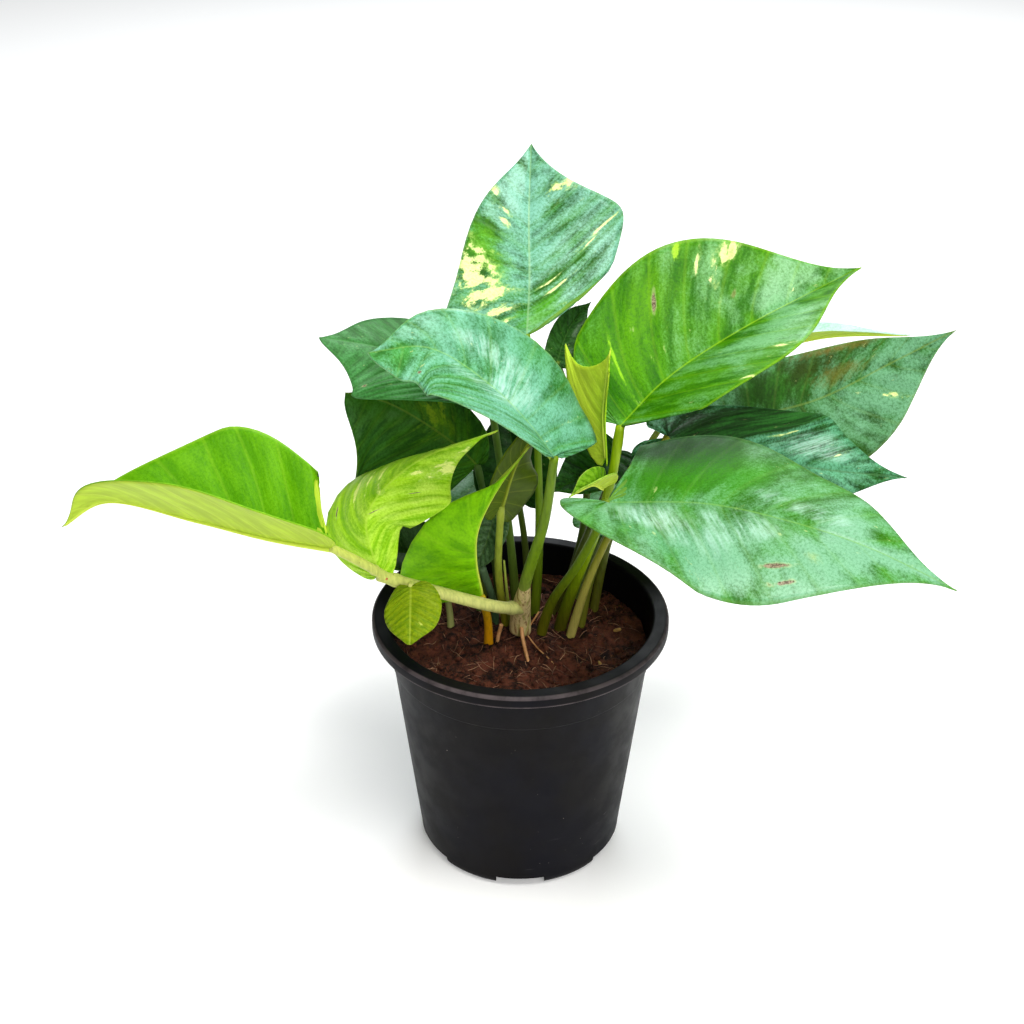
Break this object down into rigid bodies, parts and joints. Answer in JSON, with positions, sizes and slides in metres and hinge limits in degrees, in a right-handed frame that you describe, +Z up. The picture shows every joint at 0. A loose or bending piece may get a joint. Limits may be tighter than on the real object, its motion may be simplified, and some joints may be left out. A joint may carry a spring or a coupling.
{
  "type": "potted pothos plant",
  "caption": "Leafy trailing plant with heart-shaped, pointed leaves on long thin stalks, rising from soil in a tapered round nursery pot with a rolled-over rim and a ring of feet.",
  "frame": {"origin": "centre of the box at the height of the pot's feet, within 1 mm of the pot's axis", "axes": "+X to the right across the plant's widest spread, +Y to the back, +Z up"},
  "size_m": [0.3212, 0.1642, 0.2522],
  "materials": {
    "pot": "satin black plastic",
    "soil": "rough damp peat",
    "leaf_green": "glossy waxy green leaf with cream and lime streaks",
    "leaf_lime": "glossy young lime leaf",
    "leaf_olive": "satin olive leaf",
    "stalk": "smooth green stalk"
  },
  "bodies": {
    "root": {"pot": "pot", "soil": "soil", "stem": "stalk", "bud": "stalk", "cut_stalk": "stalk", "stalk_top": "stalk", "stalk_upper_right": "stalk", "stalk_lower_right": "stalk", "stalk_back_left": "stalk", "stalk_dark_left": "stalk", "stalk_low_front": "stalk", "stalk_olive": "stalk", "stalk_dark_middle": "stalk", "stalk_far_right": "stalk", "stalk_middle_right": "stalk", "stalk_far_back": "stalk", "stalk_dark_low": "stalk", "stalk_small_grey": "stalk", "stalk_centre_back": "stalk", "stalk_shaded": "stalk", "stalk_rear_left": "stalk", "stalk_rear_right": "stalk", "leaf_top": "leaf_green", "leaf_upper_right": "leaf_green", "leaf_lower_right": "leaf_green", "leaf_front_left": "leaf_green", "leaf_back_left": "leaf_green", "leaf_dark_left": "leaf_green", "leaf_low_front": "leaf_green", "leaf_dark_middle": "leaf_green", "leaf_far_right": "leaf_green", "leaf_middle_right": "leaf_green", "leaf_far_back": "leaf_green", "leaf_dark_low": "leaf_green", "leaf_small_grey": "leaf_green", "leaf_centre_back": "leaf_green", "leaf_shaded": "leaf_green", "leaf_rear_left": "leaf_green", "leaf_rear_right": "leaf_green", "leaf_far_left": "leaf_lime", "leaf_vine_end": "leaf_lime", "leaf_curled": "leaf_lime", "leaf_narrow": "leaf_lime", "leaf_olive": "leaf_olive", "leaf_drooping": "leaf_olive"}
  },
  "joints": []
}
